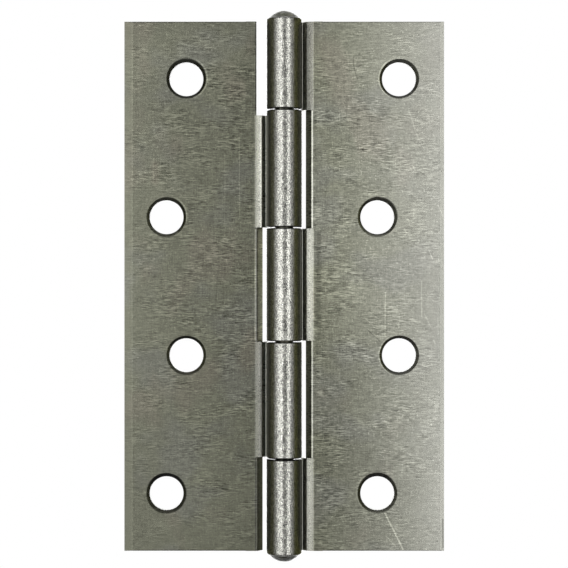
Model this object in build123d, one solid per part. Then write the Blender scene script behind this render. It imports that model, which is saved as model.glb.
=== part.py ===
"""Pressed-steel butt hinge, opened flat: two leaves rolled into five knuckles round a peened pin.

The pin's axis is Z and its middle is the origin. The leaves lie along X, one to each side, with
their countersunk fronts towards -Y, where the knuckles stand out, and their flat backs towards +Y.
All sizes are in millimetres and degrees.
"""

import math
import os

from build123d import *

# Leaves
SHEET = 1.6
LEAF_HEIGHT = 100.0
LEAF_REACH = 30.2
LEAF_SETBACK = 0.5
EDGE_ROLL = 0.25
LEFT_BEVEL = 1.5
RIGHT_BEVEL = 0.75
BEVEL_TILT = 9.0

# Pin
PIN_DIAMETER = 3.4
PIN_CLEARANCE = 0.05
HEAD_DIAMETER = 5.7
HEAD_HEIGHT = 1.4

# Knuckles, counted from the top, and the heights of the seams between them
FIRST_SEAM = 33.2
SECOND_SEAM = 11.0
THIRD_SEAM = -10.4
FOURTH_SEAM = -32.4
KNUCKLE_GAP = 0.2
SEAM_ROUND = 0.25
END_PROUD = 0.5
END_ROUND = 0.45
ROLL_GAP = 0.35

# Swaged strip beside a leaf's own knuckles
STRIP_WIDTH = 1.4
STRIP_TILT = 14.0
GROOVE_WIDTH = 0.9
GROOVE_TILT = 50.0
STRIP_BEND = 2.5

# Notches that clear the other leaf's knuckles, with a slanting sheared edge
NOTCH_CLEARANCE = 0.75
SHEAR_WIDTH = 1.0
SHEAR_DEPTH = 1.3
SHEAR_ROUND = 0.5
TOP_NOTCH_CLEARANCE = 1.9
TOP_NOTCH_DEPTH = 0.8

# Screw holes, in two staggered columns
HOLE_ROWS = 4
HOLE_PITCH = 26.1
HOLE_DIAMETER = 6.4
SINK_DIAMETER = 7.5
SINK_ANGLE = 90.0
LEFT_NEAR_COLUMN = 18.5
LEFT_FAR_COLUMN = 22.25
RIGHT_NEAR_COLUMN = 17.6
RIGHT_FAR_COLUMN = 21.7

# Sizes that follow
TOP = LEAF_HEIGHT / 2
HEAD_SEAT = TOP + END_PROUD
PIN_RADIUS = PIN_DIAMETER / 2
BORE_RADIUS = PIN_RADIUS + PIN_CLEARANCE
KNUCKLE_RADIUS = BORE_RADIUS + SHEET
STRIP_INNER = KNUCKLE_RADIUS + GROOVE_WIDTH
STRIP_OUTER = STRIP_INNER + STRIP_WIDTH
SEAMS = (TOP, FIRST_SEAM, SECOND_SEAM, THIRD_SEAM, FOURTH_SEAM, -TOP)
KNUCKLES = len(SEAMS) - 1


def knuckle_span(index, gap):
    """Bottom and top Z of one knuckle's place, drawn in by half of gap at each seam."""
    top = SEAMS[index] - (gap / 2 if index > 0 else 0)
    bottom = SEAMS[index + 1] + (gap / 2 if index < KNUCKLES - 1 else 0)
    return bottom, top


def tab_section():
    """Sections of a tab: its sheet, with the swaged strip and groove wall, and the roll round the pin."""
    strip_drop = STRIP_WIDTH * math.tan(math.radians(STRIP_TILT))
    strip_edge = (STRIP_INNER, LEAF_SETBACK + strip_drop)
    wall_run = (BORE_RADIUS - strip_edge[1]) / math.tan(math.radians(GROOVE_TILT))
    front = Polyline(
        (STRIP_OUTER + SHEET, LEAF_SETBACK),
        (STRIP_OUTER, LEAF_SETBACK),
        strip_edge,
        (STRIP_INNER - wall_run, BORE_RADIUS),
        (0, BORE_RADIUS),
    )
    sheet = make_face(offset(front, SHEET, side=Side.RIGHT, kind=Kind.INTERSECTION))
    bend = sheet.vertices().sort_by_distance((STRIP_OUTER, LEAF_SETBACK))[0]
    sheet = fillet(bend, STRIP_BEND)

    end_angle = math.degrees(math.asin((BORE_RADIUS - ROLL_GAP) / KNUCKLE_RADIUS))
    outer = CenterArc((0, 0), KNUCKLE_RADIUS, 90, 270 + end_angle)
    inner = CenterArc((0, 0), BORE_RADIUS, 90, 270 + end_angle)
    roll = make_face([outer, inner, Line(outer @ 0, inner @ 0), Line(outer @ 1, inner @ 1)])
    return sheet, roll


def tab(index):
    """One knuckle with its root: its outer rims are rounded, and proud of the leaf at the leaf's ends."""
    bottom, top = knuckle_span(index, KNUCKLE_GAP)
    root_top = top - (TOP_NOTCH_DEPTH if index == 1 else 0)
    roll_top = top + (END_PROUD if index == 0 else 0)
    roll_bottom = bottom - (END_PROUD if index == KNUCKLES - 1 else 0)
    sheet, roll = tab_section()
    body = extrude(Pos(0, 0, bottom) * sheet, root_top - bottom)
    body += extrude(Pos(0, 0, roll_bottom) * roll, roll_top - roll_bottom)
    body = fillet(outer_rims(body, lambda height: height < TOP), SEAM_ROUND)
    hammered = outer_rims(body, lambda height: height > TOP)
    return fillet(hammered, END_ROUND) if hammered else body


def outer_rims(body, wanted):
    """The knuckle's rims on its outside, at the wanted heights above or below the middle."""
    circles = body.edges().filter_by(GeomType.CIRCLE)
    outside = circles.filter_by(lambda edge: edge.radius > BORE_RADIUS + SHEET / 2)
    return outside.filter_by(lambda edge: wanted(abs(edge.center().Z)))


def lip(index):
    """The leaf's margin in a notch, from its cut edge outwards: sheared, or die-rolled in the top notch."""
    sheared = index > 0
    bottom, top = knuckle_span(index, -KNUCKLE_GAP)
    edge = KNUCKLE_RADIUS + (NOTCH_CLEARANCE if sheared else TOP_NOTCH_CLEARANCE)
    width = STRIP_OUTER + SHEET - edge
    section = Rectangle(width, SHEET, align=Align.MIN)
    if sheared:
        section -= Polygon((0, 0), (SHEAR_WIDTH, 0), (0, SHEAR_DEPTH), align=None)
        section = fillet(section.vertices().sort_by_distance((SHEAR_WIDTH, 0))[0], SHEAR_ROUND)
    else:
        section = fillet(section.vertices().sort_by_distance((0, 0))[0], EDGE_ROLL)
        bottom -= TOP_NOTCH_DEPTH
    return extrude(Pos(edge, LEAF_SETBACK, bottom) * section, top - bottom)


def plate(bevel):
    """The flat of the leaf, from the swage outwards: outer edge bevelled, ends die-rolled."""
    start = Pos(STRIP_OUTER, LEAF_SETBACK, -TOP)
    flat = start * Box(LEAF_REACH - STRIP_OUTER, SHEET, LEAF_HEIGHT, align=Align.MIN)
    depth = bevel * math.tan(math.radians(BEVEL_TILT))
    outer_edge = flat.edges().filter_by(Axis.Z).sort_by_distance((LEAF_REACH, LEAF_SETBACK, 0))[0]
    flat = chamfer(outer_edge, bevel, depth, reference=flat.faces().sort_by(Axis.Y)[0])
    ends = flat.faces().sort_by(Axis.Y)[0].edges().filter_by(Axis.X)
    return fillet(ends, EDGE_ROLL)


def screw_hole(column, height):
    """Cutter for one countersunk hole, entering at the leaf's front."""
    front = Plane(origin=(column, LEAF_SETBACK, height), z_dir=(0, -1, 0))
    return front * CounterSinkHole(HOLE_DIAMETER / 2, SINK_DIAMETER / 2, 2 * SHEET, SINK_ANGLE)


def leaf(own_knuckles, columns, bevel):
    """One leaf on the +X side: flat, tabs at its own knuckles, lips at the other leaf's, screw holes."""
    shape = plate(bevel)
    for index in range(KNUCKLES):
        shape += tab(index) if index in own_knuckles else lip(index)
    for row in range(HOLE_ROWS):
        height = ((HOLE_ROWS - 1) / 2 - row) * HOLE_PITCH
        shape -= screw_hole(columns[row % 2], height)
    return shape


def pin():
    """The pin: a plain shank with a peened dome at each end, turned about Z."""
    head_radius = HEAD_DIAMETER / 2
    dome_radius = (head_radius**2 + HEAD_HEIGHT**2) / (2 * HEAD_HEIGHT)
    half_angle = math.asin(head_radius / dome_radius) / 2
    dome_centre = HEAD_SEAT + HEAD_HEIGHT - dome_radius
    halfway = (dome_radius * math.sin(half_angle), dome_centre + dome_radius * math.cos(half_angle))
    half = make_face(
        [
            Polyline((0, 0), (PIN_RADIUS, 0), (PIN_RADIUS, HEAD_SEAT), (head_radius, HEAD_SEAT)),
            ThreePointArc((head_radius, HEAD_SEAT), halfway, (0, HEAD_SEAT + HEAD_HEIGHT)),
            Line((0, HEAD_SEAT + HEAD_HEIGHT), (0, 0)),
        ]
    )
    upper = revolve(Plane.XZ * half, Axis.Z)
    return upper + mirror(upper, about=Plane.XY)


right_leaf = leaf((0, 2, 4), (RIGHT_FAR_COLUMN, RIGHT_NEAR_COLUMN), RIGHT_BEVEL)
left_leaf = mirror(leaf((1, 3), (LEFT_NEAR_COLUMN, LEFT_FAR_COLUMN), LEFT_BEVEL), about=Plane.YZ)

os.makedirs("parts", exist_ok=True)
for name, shape in {"left_leaf": left_leaf, "right_leaf": right_leaf, "pin": pin()}.items():
    export_step(shape, f"parts/{name}.step")
    print(name, round(shape.volume, 2), shape.bounding_box())
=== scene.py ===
# %% [markdown]
# # A pressed-steel butt hinge
# The hinge comes from the workshop as three finished solids: two leaves and a pin. Their shapes are
# right, so this lesson leaves the meshes alone and spends its time on what makes bare sheet steel
# look like steel: the colour of the metal, its rolled grain, its marks, and the studio around it.

# %% Load the frame
import math
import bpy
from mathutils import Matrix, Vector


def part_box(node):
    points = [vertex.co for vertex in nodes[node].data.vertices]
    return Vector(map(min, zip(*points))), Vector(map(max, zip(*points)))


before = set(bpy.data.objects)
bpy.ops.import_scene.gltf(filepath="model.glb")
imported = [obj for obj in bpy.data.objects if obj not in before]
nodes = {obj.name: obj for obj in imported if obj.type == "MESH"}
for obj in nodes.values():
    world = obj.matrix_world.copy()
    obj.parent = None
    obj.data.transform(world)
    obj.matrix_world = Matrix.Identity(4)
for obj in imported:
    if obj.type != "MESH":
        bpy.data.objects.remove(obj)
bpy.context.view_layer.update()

from types import SimpleNamespace

import bpy

MM = 0.001
print("pieces", sorted(nodes))

# %% [markdown]
# ## Shader arithmetic
# A finish is a formula over the surface, and a formula is easier to read as an expression than as a
# chain of boxes. This class wraps one socket of a node tree, so that `1 - mask * 0.3` adds the Math
# nodes by itself. Every other kind of node comes from one method, `add`.

# %% A socket that can be used in expressions
class Wire:
    """A value in a shader: one output socket, with arithmetic that adds Math nodes."""

    def __init__(self, tree, socket):
        self.tree = tree
        self.socket = socket

    def add(self, kind, settings, inputs, output=0):
        """Adds a node of a kind, sets its settings, fills its inputs and returns one output."""
        node = self.tree.nodes.new(kind)
        for name, setting in settings.items():
            setattr(node, name, setting)
        for name, value in inputs.items():
            if isinstance(value, Wire):
                self.tree.links.new(value.socket, node.inputs[name])
            else:
                node.inputs[name].default_value = value
        return Wire(self.tree, node.outputs[output])

    def feed(self, node, name):
        """Links the value to an input of a node that already stands in the tree."""
        self.tree.links.new(self.socket, node.inputs[name])

    def math(self, operation, *values):
        return self.add("ShaderNodeMath", {"operation": operation}, dict(enumerate(values)))

    def __add__(self, other):
        return self.math("ADD", self, other)

    def __sub__(self, other):
        return self.math("SUBTRACT", self, other)

    def __mul__(self, other):
        return self.math("MULTIPLY", self, other)

    def __truediv__(self, other):
        return self.math("DIVIDE", self, other)

    def __rsub__(self, other):
        return self.math("SUBTRACT", other, self)

    def __pow__(self, other):
        return self.math("POWER", self, other)

    def __abs__(self):
        return self.math("ABSOLUTE", self)

    __radd__ = __add__
    __rmul__ = __mul__


# %% Steps, bands and mixtures
def step_up(value, low, high):
    """0 below low, 1 above high and a smooth step between."""
    settings = {"interpolation_type": "SMOOTHSTEP"}
    return value.add("ShaderNodeMapRange", settings, {0: value, 1: low, 2: high, 3: 0.0, 4: 1.0})


def band(value, low, high, soft):
    """1 between low and high, 0 outside, with edges soft wide."""
    half = soft / 2
    return step_up(value, low - half, low + half) * (1 - step_up(value, high - half, high + half))


def blend(factor, first, second):
    """first where factor is 0, second where it is 1."""
    return factor * (second - first) + first


def mix_colour(factor, first, second):
    """The colour first where factor is 0, second where it is 1."""
    return factor.add("ShaderNodeMix", {"data_type": "RGBA"}, {0: factor, 6: first, 7: second}, 2)


def scaled(vector, level):
    """A colour made lighter or darker by a level, or an arrow made longer or shorter by it."""
    return level.add("ShaderNodeVectorMath", {"operation": "SCALE"}, {0: vector, "Scale": level})


# %% [markdown]
# ## Places on the hinge
# Every pattern below is laid out in millimetres from the pin's axis: X across the leaves, Z along
# the pin, and the distance from the axis, which tells a knuckle from the flat of a leaf.

# %% Coordinates, noise, scratches and painted lines
def new_steel(name):
    """A metal material, with its Principled shader and the place on the hinge in millimetres."""
    material = bpy.data.materials.new(name)
    material.use_nodes = True
    tree = material.node_tree
    shader = tree.nodes["Principled BSDF"]
    shader.inputs["Metallic"].default_value = 1.0
    start = Wire(tree, tree.nodes.new("ShaderNodeTexCoord").outputs["Object"])
    place = start.add("ShaderNodeVectorMath", {"operation": "SCALE"}, {0: start, "Scale": 1 / MM})
    return material, shader, place


def split(place):
    """The three coordinates of a place."""
    node = place.add("ShaderNodeSeparateXYZ", {}, {0: place}).socket.node
    return [Wire(place.tree, node.outputs[axis]) for axis in range(3)]


def noise(place, pattern, shift=0.0):
    """Cloudy values around 0, about -0.3 to 0.3.

    A pattern is the size of its blotches (X, Y, Z) in mm, its detail and its shift. The shifts move
    to another part of the same endless noise, so that no two patterns and no two pieces agree.
    """
    size, detail, own_shift = pattern
    scale = tuple(1 / length for length in size)
    offset = (shift + own_shift,) * 3
    stretched = place.add("ShaderNodeVectorMath", {"operation": "MULTIPLY_ADD"},
                          {0: place, 1: scale, 2: offset})
    sockets = {"Vector": stretched, "Scale": 1.0, "Detail": detail}
    return place.add("ShaderNodeTexNoise", {}, sockets) - 0.5


def distance_from(across, along, x, z):
    """The distance from a point in the leaf's plane, and its parts along X and along Z."""
    off_x = across - x
    off_z = along - z
    return (off_x * off_x + off_z * off_z) ** 0.5, off_x, off_z


def straight_mark(across, along, start, end, width):
    """1 on a straight line between two points (X, Z), falling to 0 at width from its middle."""
    reach = (end[0] - start[0], end[1] - start[1])
    length_squared = reach[0] ** 2 + reach[1] ** 2
    share = ((across - start[0]) * reach[0] + (along - start[1]) * reach[1]) / length_squared
    share = share.add("ShaderNodeClamp", {}, {0: share})
    nearest_x = share * reach[0] + start[0]
    nearest_z = share * reach[1] + start[1]
    distance, _, _ = distance_from(across, along, nearest_x, nearest_z)
    return 1 - step_up(distance, 0.0, width)


def scratches_and_painted_lines(across, along, marks):
    """The sum of all marks (start, end, width, strength); a negative strength is a dark one. A mark
    is a scratched line, a speck, a stain, or a painted highlight or shade line.
    """
    return sum(straight_mark(across, along, start, end, width) * strength
               for start, end, width, strength in marks)


# %% [markdown]
# ## Bare steel
# Cold-rolled sheet is never one grey. It leans to olive, blue or brown in clouds of a centimetre or
# two. The rolls leave short fine lines across the leaf, in patches. The knuckles were hammered
# round the pin, so they are smoother and pitted. The tones are ratios, with green as 1, and the
# levels are how much of the room the metal mirrors, with painted light and shade in them.

# %% Tones
OLIVE = (0.98, 1.0, 0.75, 1.0)
BLUE = (0.985, 1.0, 0.85, 1.0)
BROWN = (1.05, 1.0, 0.78, 1.0)
WORN = (1.0, 1.0, 0.91, 1.0)
BURNISHED = (1.003, 1.0, 0.925, 1.0)
BLUE_CLOUDS = ((13.0, 13.0, 10.0), 2.0, 0.0)
BLUE_EDGE = (-0.02, 0.16)
BLUE_SHARE = 0.7
BROWN_CLOUDS = ((10.0, 10.0, 14.0), 2.0, 7.3)
BROWN_EDGE = (0.03, 0.18)
BROWN_SHARE = 0.8


def steel_tone(place, shift):
    """Olive steel with bluish and brownish clouds."""
    blue = step_up(noise(place, BLUE_CLOUDS, shift), *BLUE_EDGE)
    brown = step_up(noise(place, BROWN_CLOUDS, shift), *BROWN_EDGE)
    colour = mix_colour(blue * BLUE_SHARE, OLIVE, BLUE)
    return mix_colour(brown * BROWN_SHARE, colour, BROWN)


# %% Rolled grain
WANDER = ((2.4, 2.4, 1.5), 2.0, 6.6)
WANDER_REACH = (0.0, 0.0, 0.5)
PATCHES = ((6.0, 6.0, 4.0), 2.0, 3.1)
PATCH_EDGE = (-0.12, 0.14)
LINES = ((1.1, 1.1, 0.11), 0.5, 0.0)
LINE_STRENGTH = (0.5, 1.7)
CREST_EDGE = (0.08, 0.2)
CREST_STRENGTH = 0.12
UPRIGHTS = ((0.2, 0.2, 3.2), 1.0, 5.9)
UPRIGHT_STRENGTH = 0.3
GRIT = ((0.24, 0.24, 0.2), 1.0, 1.4)
GRIT_STRENGTH = 0.6
SPECKS = ((0.34, 0.34, 0.3), 0.0, 9.7)
SPECK_EDGE = (0.19, 0.27)
SPECK_STRENGTH = 0.35
GRAIN_MEAN = 0.02


def rolled_grain(place, shift):
    """Short wavy lines across the leaf in patches, faint upright lines, grit and light specks.

    The lines wander a little up and down, and are strongest in the patches. The sum is around 0.
    """
    wander = scaled(WANDER_REACH, noise(place, WANDER, shift))
    bent = place.add("ShaderNodeVectorMath", {"operation": "ADD"}, {0: place, 1: wander})
    lines = noise(bent, LINES, shift)
    crests = step_up(lines, *CREST_EDGE) * CREST_STRENGTH
    patches = step_up(noise(place, PATCHES, shift), *PATCH_EDGE)
    rolled = (lines + crests) * blend(patches, *LINE_STRENGTH)
    uprights = noise(place, UPRIGHTS, shift) * UPRIGHT_STRENGTH
    grit = noise(place, GRIT, shift) * GRIT_STRENGTH
    specks = step_up(noise(place, SPECKS, shift), *SPECK_EDGE) * SPECK_STRENGTH
    return rolled + uprights + grit + specks - GRAIN_MEAN


# %% [markdown]
# ## The map of a leaf
# A leaf is one sheet, but each part of it was worked in another way. The knuckle was hammered, the
# strip beside it was rubbed by the press and is painted brighter as a highlight, and a notch has a
# sheared slope with a sharp rim.
# Masks between 0 and 1 tell these parts apart, by the distance from the axis and by the knuckle.

# %% Values by knuckle and by countersink
SEAMS = (33.2, 11.0, -10.4, -32.4)
SEAM_SOFT = 0.1
SINK_SOFT = (-0.02, 0.1)
SINK_TOP = (0.2, 0.9)
# The light arc outside a countersink's rim is a painted highlight.
BURR_GLINT = (0.1, 0.36)
BURR_GLINT_SOFT = 0.1
BURR_GLINT_SIDE = (0.2, 0.8)


def by_knuckle(along, values):
    """One value for each knuckle's span of Z, from the top down."""
    changes = sum((1 - step_up(along, seam - SEAM_SOFT, seam + SEAM_SOFT)) * (below - above)
                  for seam, above, below in zip(SEAMS, values, values[1:]))
    return changes + values[0]


def sink_shadow(across, along, sinks):
    """How dark the painted shadow in the countersinks is: (X, Z, radius, at the sides, at the top,
    light arc).

    The shadow is painted, with its own darkness at the sides and at the top. The light arc is a
    painted highlight, thin and outside the rim, on the right where it is above 0 and on the left
    where it is below.
    """
    shadows = []
    for x, z, radius, side, top, burr_glint in sinks:
        distance, off_x, off_z = distance_from(across, along, x, z)
        inside = 1 - step_up(distance, radius + SINK_SOFT[0], radius + SINK_SOFT[1])
        shadows.append(inside * blend(step_up(off_z / distance, *SINK_TOP), side, top))
        if burr_glint:
            sideways = off_x * math.copysign(1.0, burr_glint) / distance
            arc = band(distance, radius + BURR_GLINT[0], radius + BURR_GLINT[1], BURR_GLINT_SOFT)
            shadows.append(arc * step_up(sideways, *BURR_GLINT_SIDE) * -abs(burr_glint))
    return sum(shadows)


# %% Parts and patterns of a leaf
KNUCKLE = (3.6, 3.8)
LEAF_BACK = (1.7, 1.9)
HAS_STRIP = (0.0, 0.02)
STRIP_END = (4.6, 6.05)
RAGGED_GLITTER = 0.9
RAGGED_CLOUDS = 0.6
GROOVE = (3.45, 4.2)
GROOVE_SOFT = 0.1
NOTCH_RIM = (5.22, 5.45)
SHEAR = (4.0, 5.0)
EDGE_SOFT = 0.15
KNUCKLE_FRONT = (0.1, 0.9)
FLAT_START = 6.0
FLAT_WIDTH = 24.0
LOWER_HALF = (-10.0, 35.0)
GLITTER = ((0.17, 0.17, 0.2), 1.0, 2.2)
PITS = ((0.5, 0.5, 0.8), 2.0, 8.2)
CLOUDS = ((7.0, 7.0, 9.0), 2.0, 4.4)


def leaf_map(place, look):
    """The coordinates, patterns and parts of a leaf. The parts are masks."""
    leaf = SimpleNamespace()
    leaf.across, depth, leaf.along = split(place)
    leaf.reach = abs(leaf.across)
    leaf.outward = (leaf.reach - FLAT_START) / FLAT_WIDTH
    leaf.downward = step_up(0 - leaf.along, *LOWER_HALF)
    leaf.front_side = 1 - step_up(depth, *LEAF_BACK)

    leaf.grain = rolled_grain(place, look.shift)
    leaf.glitter = noise(place, GLITTER, look.shift)
    leaf.pits = noise(place, PITS, look.shift)
    leaf.clouds = noise(place, CLOUDS, look.shift)

    from_axis = (leaf.across * leaf.across + depth * depth) ** 0.5
    leaf.knuckle = 1 - step_up(from_axis, *KNUCKLE)
    leaf.knuckle_front = leaf.front_side * (1 - step_up(leaf.reach, *KNUCKLE_FRONT))
    # The strip's brightness by knuckle is a painted highlight on burnished steel.
    leaf.strip_level = by_knuckle(leaf.along, look.strips)
    own = leaf.front_side * step_up(leaf.strip_level, *HAS_STRIP)
    ragged = leaf.reach + leaf.glitter * RAGGED_GLITTER + leaf.clouds * RAGGED_CLOUDS
    leaf.strip = own * (1 - step_up(ragged, *STRIP_END))
    leaf.groove = own * band(leaf.reach, *GROOVE, GROOVE_SOFT)
    # The rim's brightness by knuckle is a painted highlight or shade.
    leaf.rim = leaf.front_side * band(leaf.reach, *NOTCH_RIM, EDGE_SOFT)
    # The sheared slope's gain by knuckle is painted light.
    leaf.shear = leaf.front_side * band(leaf.reach, *SHEAR, EDGE_SOFT)
    bright = leaf.strip.math("MAXIMUM", leaf.strip, leaf.rim)
    leaf.worn = bright.math("MAXIMUM", leaf.knuckle, bright)
    return leaf


# %% [markdown]
# ## The two leaves
# Both leaves use one recipe: the flat, the burnished strip beside the leaf's own knuckles, painted
# brighter as a highlight, the knuckles with a painted highlight on their fronts, the countersinks
# with painted shadow, the painted shade at the seams, and the scratches with painted highlight and
# shade lines along edges. Both leaves are painted darker towards the bottom. The right leaf faces a
# lamp and brightens towards its outer edge, so it is given a ramp of its own, which is painted
# light.

# %% How much of the room a leaf mirrors, and the light and shade painted on it
LEAF_ENDS = (36.0, 48.0)
END_CALM = 0.3
FLAT_CLOUDS = 0.25
BEVEL_SOFT = (-0.1, 0.15)
STRIP_GLITTER = 2.4
STRIP_CLOUDS = 0.5
# A painted highlight: the light line in the groove beside a knuckle.
GROOVE_HIGHLIGHT = 1.1
KNUCKLE_LEVELS = (0.2, 0.19, 0.215, 0.195, 0.178)
# A painted highlight on the front of each knuckle.
KNUCKLE_FRONT_HIGHLIGHT = 0.7
KNUCKLE_GLITTER = 3.0
KNUCKLE_PITS = 1.2
SEAM_HALF = 0.3
# Painted shade in the seams between knuckles.
SEAM_SHADE = 0.88


def flat_level(leaf, look):
    """The level of the flat: painted light rising outwards, less painted shade below, then grain,
    clouds, bevel.
    """
    inward = 1 - leaf.outward
    # Painted light: the level rises outwards. Painted shade: it is lowered towards the bottom.
    level = look.ramp[0] + leaf.outward * (look.ramp[1] - look.ramp[0])
    inner, middle, outer = look.fade
    lost = inward * inner + inward * leaf.outward * middle + leaf.outward * outer
    level = level - leaf.downward * lost
    calm_ends = 1 - step_up(abs(leaf.along), *LEAF_ENDS) * END_CALM
    calm = calm_ends * (1 - leaf.downward * look.grain_loss)
    grain = leaf.grain * calm * blend(leaf.outward, *look.grain_ramp)
    level = level * (1 + grain + leaf.clouds * FLAT_CLOUDS)
    # The bevel is painted darker, as shade on its tilted face.
    start, darker = look.bevel
    bevel = step_up(leaf.reach, start + BEVEL_SOFT[0], start + BEVEL_SOFT[1])
    return level * (1 - leaf.front_side * bevel * darker)


def leaf_level(leaf, look):
    """The level of a whole leaf, with painted light and shade: flat, notches, strip, groove,
    knuckle, marks, sinks and seams.
    """
    level = flat_level(leaf, look)
    # Painted light on the sheared slopes of the notches, by knuckle.
    level = level * (1 + leaf.shear * by_knuckle(leaf.along, look.shears))
    # The burnished strip, painted brighter as a highlight.
    speckle = 1 + leaf.glitter * STRIP_GLITTER + leaf.clouds * STRIP_CLOUDS
    level = blend(leaf.strip, level, leaf.strip_level * speckle)
    # A painted highlight line in the groove, and the painted highlight or shade of the notch's rim.
    level = blend(leaf.groove, level + leaf.rim * by_knuckle(leaf.along, look.rims), GROOVE_HIGHLIGHT)
    # A painted highlight on the knuckle's front; glitter and pits speckle it, partly as painted
    # glints.
    front_highlight = 1 + leaf.knuckle_front * KNUCKLE_FRONT_HIGHLIGHT
    speckle = 1 + leaf.glitter * KNUCKLE_GLITTER + leaf.pits * KNUCKLE_PITS
    knuckle_level = by_knuckle(leaf.along, KNUCKLE_LEVELS) * front_highlight * speckle
    level = blend(leaf.knuckle, level, knuckle_level)
    # Scratches and specks, and painted highlight and shade lines along edges.
    level = level * (1 + leaf.front_side * scratches_and_painted_lines(leaf.across, leaf.along, look.marks))
    # The painted shadow in the countersinks, with their painted light arcs.
    level = level * (1 - leaf.front_side * sink_shadow(leaf.across, leaf.along, look.sinks))
    # Painted shade in the seams between knuckles.
    for seam in SEAMS:
        line = band(leaf.along, seam - SEAM_HALF, seam + SEAM_HALF, EDGE_SOFT)
        level = level * (1 - line * leaf.knuckle * SEAM_SHADE)
    return level


# %% Recipe of a leaf
MIRRORED = 1.7
WORN_SHARE = 0.8
FLAT_ROUGHNESS = 0.36
GRAIN_ROUGHNESS = 0.12
STRIP_SMOOTHNESS = 0.06
KNUCKLE_ROUGHNESS = 0.2
PIT_ROUGHNESS = 0.2
GRAIN_RELIEF = 0.012
GLITTER_RELIEF = 0.025
PIT_RELIEF = 0.02


def emboss(place, shader, relief):
    """Gives a finish a relief in mm."""
    sockets = {"Strength": 1.0, "Distance": MM, "Height": relief}
    place.add("ShaderNodeBump", {}, sockets).feed(shader, "Normal")


def dress(node, material):
    """Puts a finish on a node, in the place of its plain material."""
    nodes[node].material_slots[0].material = material
    print(node, "finish with", len(material.node_tree.nodes), "shader nodes")


def finish_leaf(node, look):
    """Dresses a leaf. Its look has these values, in mm where they are places.

    shift: its part of the patterns. ramp: the level beside the knuckles and at the outer edge, a
    ramp
    of painted light between them. fade: the level lost at the bottom as painted shade, as weights
    of the inner part, the middle and the outer part. grain_ramp: the strength of the grain beside
    the
    knuckles and at the edge. grain_loss: the share of it that is lost at the bottom. pale: how worn
    the tone is at the edge. bevel: where the outer bevel starts and how much darker it is painted,
    as
    shade. strips, rims and shears: for each knuckle, how bright the burnished strip is painted as a
    highlight, the painted highlight or shade on the notch's rim, and the gain of painted light on
    the
    sheared slope. sinks, marks and stains: the painted shadow and light arcs of the countersinks,
    the scratched lines and specks with painted highlight and shade lines along edges, and the brown
    stains.
    """
    material, shader, place = new_steel(node + "_finish")
    leaf = leaf_map(place, look)
    tone = mix_colour(leaf.outward * look.pale, steel_tone(place, look.shift), WORN)
    stained = leaf.front_side * scratches_and_painted_lines(leaf.across, leaf.along, look.stains)
    tone = mix_colour(stained, tone, BROWN)
    tone = mix_colour(leaf.worn * WORN_SHARE, tone, WORN)
    tone = mix_colour(leaf.knuckle * WORN_SHARE, tone, BURNISHED)
    scaled(tone, leaf_level(leaf, look) / MIRRORED).feed(shader, "Base Color")

    rolled = FLAT_ROUGHNESS + leaf.grain * GRAIN_ROUGHNESS - leaf.strip * STRIP_SMOOTHNESS
    hammered = KNUCKLE_ROUGHNESS + leaf.pits * PIT_ROUGHNESS
    blend(leaf.knuckle, rolled, hammered).feed(shader, "Roughness")
    pitted = leaf.glitter * GLITTER_RELIEF + leaf.pits * PIT_RELIEF
    emboss(place, shader, blend(leaf.worn, leaf.grain * GRAIN_RELIEF, pitted))
    dress(node, material)


# %% Left leaf
finish_leaf("left_leaf", SimpleNamespace(
    shift=0.0,
    ramp=(0.114, 0.137),
    fade=(0.01, -0.06, 0.03),
    grain_ramp=(1.5, 0.9),
    grain_loss=0.2,
    pale=0.1,
    bevel=(28.7, 0.3),
    strips=(0.0, 0.24, 0.0, 0.112, 0.0),
    rims=(-0.06, 0.0, 0.0, 0.0, -0.05),
    shears=(0.0, 0.0, 7.0, 0.0, 1.6),
    sinks=[
        (-18.5, 39.3, 3.72, 0.55, 0.7, 0.7),
        (-22.15, 13.33, 3.5, 0.5, 0.6, 0.5),
        (-18.5, -13.05, 3.63, 0.1, 0.8, 0.0),
        (-22.25, -39.15, 3.84, 0.35, 0.93, 0.0),
    ],
    marks=[
        # A broad pale sweep at the top
        ((-26.0, 42.5), (-8.0, 45.0), 7.0, 0.16),
        # Painted highlight and shade lines on the edges beside the knuckles
        ((-4.4, 32.0), (-4.4, 11.4), 0.3, 0.8),
        ((-5.35, 50.0), (-5.35, 32.4), 0.14, -0.7),
        ((-5.46, 10.7), (-5.46, -10.2), 0.22, 1.5),
        ((-5.2, 10.7), (-5.2, -10.2), 0.12, -0.35),
        # Painted highlight along the line where the bevel starts
        ((-28.65, 50.0), (-28.65, 20.0), 0.16, 0.35),
        ((-28.65, 20.0), (-28.7, -50.0), 0.14, 0.18),
        # Fine scratches
        ((-15.5, 43.7), (-13.4, 49.3), 0.16, 0.22),
        ((-8.5, 28.2), (-8.4, 13.0), 0.14, 0.5),
        ((-11.2, 25.0), (-11.2, 9.0), 0.13, 0.38),
        ((-24.7, 25.0), (-24.7, 19.5), 0.14, 0.25),
        ((-23.8, 25.0), (-23.8, 20.5), 0.14, 0.25),
        # Light specks
        ((-18.55, 44.5), (-18.45, 44.3), 0.25, 0.6),
        ((-22.2, 47.5), (-22.0, 47.3), 0.25, 0.6),
        ((-27.4, 49.4), (-27.3, 49.2), 0.25, 0.6),
    ],
    stains=[((-24.4, 23.0), (-24.4, 19.8), 1.3, 0.8)],
))

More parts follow.
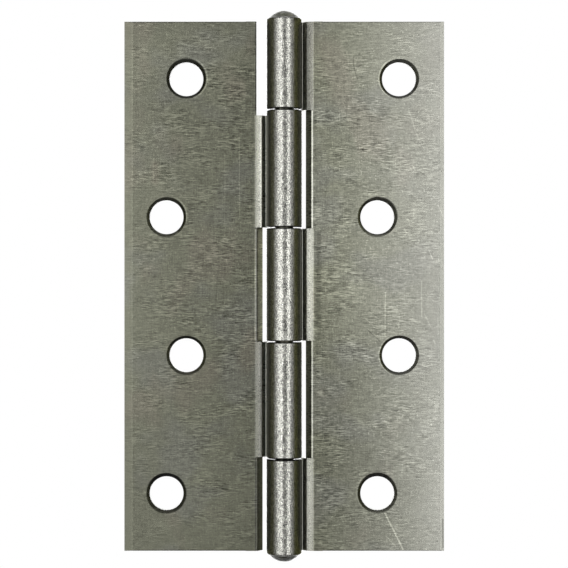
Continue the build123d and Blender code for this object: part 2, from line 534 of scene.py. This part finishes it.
# %% Right leaf
finish_leaf("right_leaf", SimpleNamespace(
    shift=20.0,
    ramp=(0.192, 0.42),
    fade=(0.055, 0.18, 0.0),
    grain_ramp=(1.5, 0.35),
    grain_loss=0.0,
    pale=0.9,
    bevel=(29.4, 0.47),
    strips=(0.09, 0.0, 0.23, 0.0, 0.18),
    rims=(0.0, 0.32, 0.0, 0.22, 0.0),
    shears=(0.0, 0.5, 0.0, 0.6, 0.0),
    sinks=[
        (21.8, 39.25, 3.67, 0.65, 0.78, -0.8),
        (17.8, 13.25, 3.63, 0.6, 0.8, 0.0),
        (21.8, -13.0, 3.65, 0.55, 0.86, -0.6),
        (17.6, -38.95, 3.71, 0.5, 0.9, -0.2),
    ],
    marks=[
        # Long scratches
        ((19.0, -42.8), (22.4, -49.6), 0.26, 0.9),
        ((19.2, -47.2), (21.5, -49.6), 0.16, 0.35),
        ((13.0, 43.3), (13.2, 41.2), 0.16, -0.35),
        ((13.2, 41.2), (13.8, 39.1), 0.16, -0.35),
        ((23.4, 33.7), (25.1, 28.3), 0.16, 0.3),
        ((25.1, 28.3), (26.6, 25.7), 0.16, 0.22),
        ((19.1, -1.2), (19.05, -9.6), 0.16, 0.5),
        ((25.95, 1.0), (25.95, -5.7), 0.16, 0.35),
        ((21.8, -6.7), (25.7, -6.7), 0.13, 0.3),
        ((26.5, -5.3), (27.7, -7.7), 0.18, 0.2),
        # Dark and light bands beside the knuckles
        ((6.4, 10.0), (6.4, -9.5), 0.9, -0.3),
        ((6.8, -12.5), (6.8, -28.5), 0.6, 0.14),
        # Short scratches
        ((19.4, -32.1), (19.4, -35.3), 0.14, 0.35),
        ((22.3, -33.6), (22.2, -36.2), 0.14, 0.35),
        ((15.6, -8.1), (18.1, -10.4), 0.14, -0.35),
        ((16.1, -4.6), (18.3, -6.3), 0.14, -0.25),
        ((15.3, -6.0), (17.2, -7.9), 0.14, 0.25),
        ((27.4, 6.6), (28.0, 5.2), 0.18, 0.5),
        ((11.1, 4.0), (12.1, 4.0), 0.14, 0.45),
        ((11.2, 10.8), (12.1, 10.2), 0.16, 0.45),
        ((22.6, 10.8), (23.1, 10.1), 0.16, 0.4),
        ((24.1, 22.9), (24.7, 21.9), 0.18, 0.3),
        ((29.05, 15.3), (30.0, 13.3), 0.18, 0.3),
        ((29.95, -44.0), (30.0, -49.4), 0.2, -0.6),
        ((21.6, -7.0), (21.6, -7.9), 0.2, 0.4),
        # Light and dark specks
        ((15.4, 5.8), (15.5, 5.8), 0.22, 0.35),
        ((21.3, 4.4), (21.4, 4.4), 0.25, 0.4),
        ((22.8, 0.6), (22.9, 0.6), 0.25, 0.35),
        ((11.8, 1.0), (11.9, 1.0), 0.25, 0.4),
        ((13.2, 21.4), (13.3, 21.4), 0.25, 0.4),
        ((28.2, -10.2), (28.5, -10.8), 0.25, 0.4),
        ((26.1, 21.2), (26.4, 21.2), 0.3, -0.55),
        ((28.8, -48.1), (28.9, -48.2), 0.25, -0.5),
        ((22.4, 24.6), (22.5, 24.6), 0.25, -0.4),
        ((25.8, 16.5), (25.9, 16.5), 0.25, -0.4),
    ],
    stains=[],
))

# %% [markdown]
# ## The pin
# Only its two hammered ends show. They are darker than the leaves, the lower one most, and covered
# with small dents, whose light and shade are painted into the colour.

# %% Hammered steel
PIN_LEVELS = (0.026, 0.1)
PIN_ENDS = (-50.0, 50.0)
PIN_SHIFT = 11.0
PIN_ROUGHNESS = 0.3
DENTS = ((1.1, 1.1, 1.1), 2.0, 9.1)
DENT_SHADE = 2.5
DENT_ROUGHNESS = 0.3
DENT_RELIEF = 0.22
PIN_GRIT = ((0.35, 0.35, 0.35), 1.0, 3.3)
PIN_GRIT_SHADE = 2.0
PIN_GRIT_RELIEF = 0.04


def finish_pin(node):
    """Dark rod with dented ends, and light and shade painted on the dents."""
    material, shader, place = new_steel(node + "_finish")
    dents = noise(place, DENTS)
    grit = noise(place, PIN_GRIT)
    upper = step_up(split(place)[2], *PIN_ENDS)
    # Painted light and shade of the dents and grit.
    dent_light_and_shade = 1 + dents * DENT_SHADE + grit * PIN_GRIT_SHADE
    level = blend(upper, *PIN_LEVELS) * dent_light_and_shade
    scaled(steel_tone(place, PIN_SHIFT), level).feed(shader, "Base Color")
    (PIN_ROUGHNESS + dents * DENT_ROUGHNESS).feed(shader, "Roughness")
    emboss(place, shader, dents * DENT_RELIEF + grit * PIN_GRIT_RELIEF)
    dress(node, material)


finish_pin("pin")

# %% [markdown]
# ## The studio
# Polished metal shows the room, not itself. Two tall soft lamps stand left and right of the camera
# and give the two bright lines on the knuckles. Dark cards at the sides give their dark flanks, and
# a lamp behind lights the backs. A plain pale floor lies well below, where no leaf reaches it.
# World and floor are white where the camera or a reflection looks, and pale grey as light.

# %% White world
ROOM_GREY = 0.7
WHITE = (1.0, 1.0, 1.0, 1.0)


def seen_directly(tree):
    """1 for camera, mirror and transmitted rays, 0 for the rest."""
    path = tree.nodes.new("ShaderNodeLightPath")
    kinds = ("Is Camera Ray", "Is Glossy Ray", "Is Transmission Ray")
    camera_ray, mirror_ray, glass_ray = [Wire(tree, path.outputs[kind]) for kind in kinds]
    return glass_ray.math("MAXIMUM", camera_ray.math("MAXIMUM", camera_ray, mirror_ray), glass_ray)


world = bpy.data.worlds.new("white_room")
world.use_nodes = True
bpy.context.scene.world = world
seen = seen_directly(world.node_tree)
dim_room = seen.add("ShaderNodeBackground", {}, {"Color": WHITE, "Strength": ROOM_GREY})
white_room = seen.add("ShaderNodeBackground", {}, {"Color": WHITE, "Strength": 1.0})
mixed_room = seen.add("ShaderNodeMixShader", {}, {0: seen, 1: dim_room, 2: white_room})
mixed_room.feed(world.node_tree.nodes["World Output"], "Surface")
print("world", world.name, "lights at", ROOM_GREY)

# %% Plain pale floor
FLOOR_LEVEL = -0.5
FLOOR_HALF = 1.5


def matt_paint(name, colour):
    """A matt paint, and its Principled shader."""
    paint = bpy.data.materials.new(name)
    paint.use_nodes = True
    shader = paint.node_tree.nodes["Principled BSDF"]
    shader.inputs["Base Color"].default_value = colour
    shader.inputs["Roughness"].default_value = 1.0
    return paint, shader


def sheet_object(name, corners, material):
    """A flat four-sided sheet of the studio."""
    mesh = bpy.data.meshes.new(name)
    mesh.from_pydata(corners, [], [(0, 1, 2, 3)])
    mesh.materials.append(material)
    sheet = bpy.data.objects.new(name, mesh)
    bpy.context.scene.collection.objects.link(sheet)
    print("sheet", name)
    return sheet


floor_paint, matt_floor = matt_paint("floor_paint", (ROOM_GREY, ROOM_GREY, ROOM_GREY, 1.0))
floor_tree = floor_paint.node_tree
matt = Wire(floor_tree, matt_floor.outputs[0])
white = matt.add("ShaderNodeEmission", {}, {"Color": WHITE, "Strength": 1.0})
mixed_floor = matt.add("ShaderNodeMixShader", {}, {0: seen_directly(floor_tree), 1: matt, 2: white})
mixed_floor.feed(floor_tree.nodes["Material Output"], "Surface")
sheet_object("floor", [
    (-FLOOR_HALF, -FLOOR_HALF, FLOOR_LEVEL), (FLOOR_HALF, -FLOOR_HALF, FLOOR_LEVEL),
    (FLOOR_HALF, FLOOR_HALF, FLOOR_LEVEL), (-FLOOR_HALF, FLOOR_HALF, FLOOR_LEVEL)], floor_paint)

# %% Dark cards at the sides
LEFT_CARD = (0.28, 0.28, 0.18, 1.0)
RIGHT_CARD = (0.28, 0.28, 0.12, 1.0)
CARD_OFFSET = 0.45
CARD_FRONT = -0.21
CARD_BACK = 0.9
CARD_HEIGHT = -FLOOR_LEVEL

for x, label, colour in ((-CARD_OFFSET, "left", LEFT_CARD), (CARD_OFFSET, "right", RIGHT_CARD)):
    card_paint, _ = matt_paint(label + "_card_paint", colour)
    card = sheet_object(label + "_card", [
        (x, CARD_FRONT, -CARD_HEIGHT), (x, CARD_BACK, -CARD_HEIGHT),
        (x, CARD_BACK, CARD_HEIGHT), (x, CARD_FRONT, CARD_HEIGHT)], card_paint)
    card.visible_camera = False

# %% Soft lamps
LAMP_DISTANCE = 0.6
LAMP_HEIGHT = 0.7


def soft_lamp(name, azimuth, width, radiance):
    """A tall lamp that looks at the hinge, azimuth degrees to the right of the camera."""
    lamp = bpy.data.lights.new(name, "AREA")
    lamp.shape = "RECTANGLE"
    lamp.size = width
    lamp.size_y = LAMP_HEIGHT
    lamp.energy = radiance * math.pi * width * LAMP_HEIGHT
    holder = bpy.data.objects.new(name, lamp)
    angle = math.radians(azimuth)
    holder.location = (LAMP_DISTANCE * math.sin(angle), -LAMP_DISTANCE * math.cos(angle), 0.0)
    holder.rotation_euler = (math.pi / 2, 0, angle)
    holder.visible_camera = False
    bpy.context.scene.collection.objects.link(holder)
    print("lamp", name, "with", round(lamp.energy, 2), "W")


soft_lamp("left_lamp", -28, 0.34, 5.0)
soft_lamp("left_fill", -54, 0.2, 1.0)
soft_lamp("right_lamp", 30, 0.14, 7.9)
soft_lamp("right_fill", 50, 0.2, 0.8)
soft_lamp("rear_lamp", 180, 0.5, 2.5)

# %% [markdown]
# ## The camera
# The picture is 568 pixels square and was taken straight on. The leaf is 100 mm high and 529.5
# pixels high in it, which fixes the width of the view at the leaf's front.

# %% Camera straight in front
PICTURE = 568
LEAF_PIXELS = 529.5
LEAF_FRONT = 0.5 * MM
CAMERA_DISTANCE = 0.318
PICTURE_CENTRE = (-0.04 * MM, 0.42 * MM)
NEAREST = 0.01

leaf_low, leaf_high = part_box("left_leaf")
view_width = (leaf_high.z - leaf_low.z) * PICTURE / LEAF_PIXELS
camera_data = bpy.data.cameras.new("camera")
camera = bpy.data.objects.new("camera", camera_data)
bpy.context.scene.collection.objects.link(camera)
camera.location = (PICTURE_CENTRE[0], -CAMERA_DISTANCE, PICTURE_CENTRE[1])
camera.rotation_euler = (math.pi / 2, 0, 0)
camera_data.lens = camera_data.sensor_width * (CAMERA_DISTANCE + LEAF_FRONT) / view_width
camera_data.clip_start = NEAREST
bpy.context.scene.camera = camera
bpy.context.scene.view_settings.view_transform = "Standard"
print("view width in mm", round(view_width / MM, 2), "lens", round(camera_data.lens, 1))
